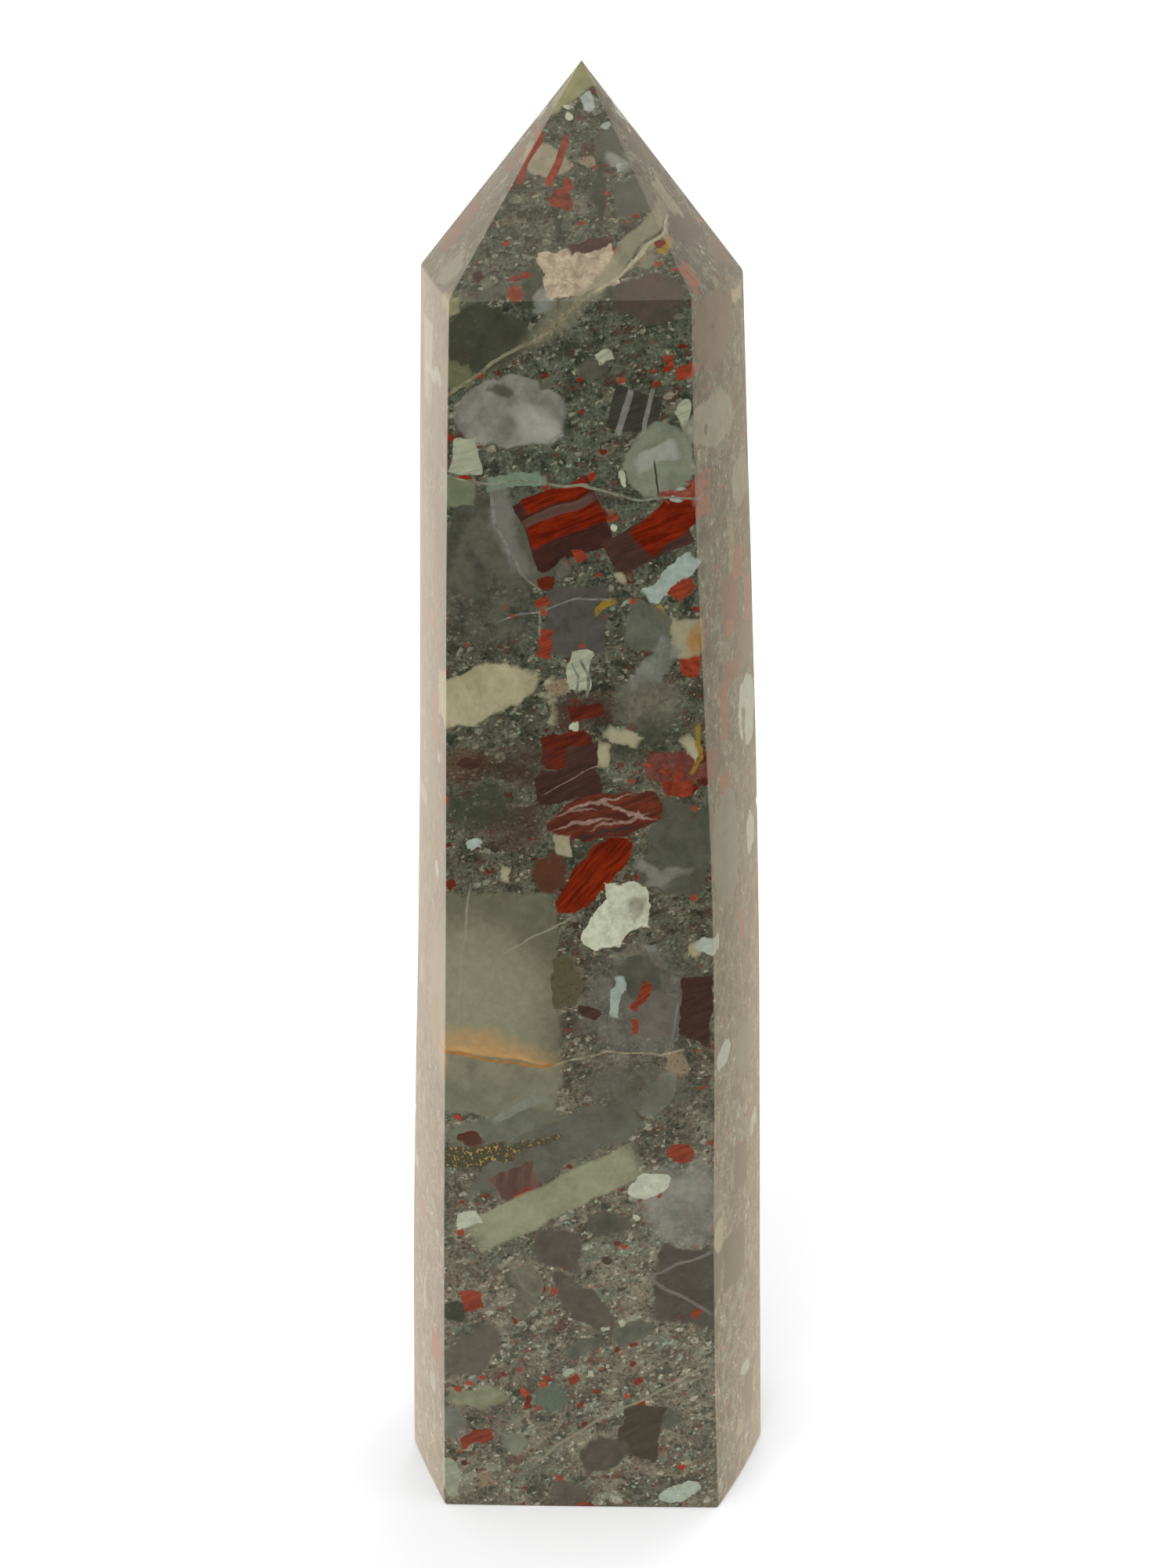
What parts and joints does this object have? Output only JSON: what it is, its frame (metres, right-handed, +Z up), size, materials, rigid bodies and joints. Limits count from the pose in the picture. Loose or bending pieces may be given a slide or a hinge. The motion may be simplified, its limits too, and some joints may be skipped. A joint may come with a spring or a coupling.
{
  "type": "agate obelisk",
  "caption": "Free-standing polished stone tower with six gently leaning sides under a six-sided point, flat underneath.",
  "frame": {"origin": "on the surface that the tower stands on, under the middle of its bounding box", "axes": "+Z up along the tower to its point, the broad front side faces -Y, +X to the right seen from the front"},
  "size_m": [0.0624, 0.0618, 0.25],
  "materials": {
    "stone": "polished"
  },
  "bodies": {
    "root": {"obelisk": "stone"}
  },
  "joints": []
}
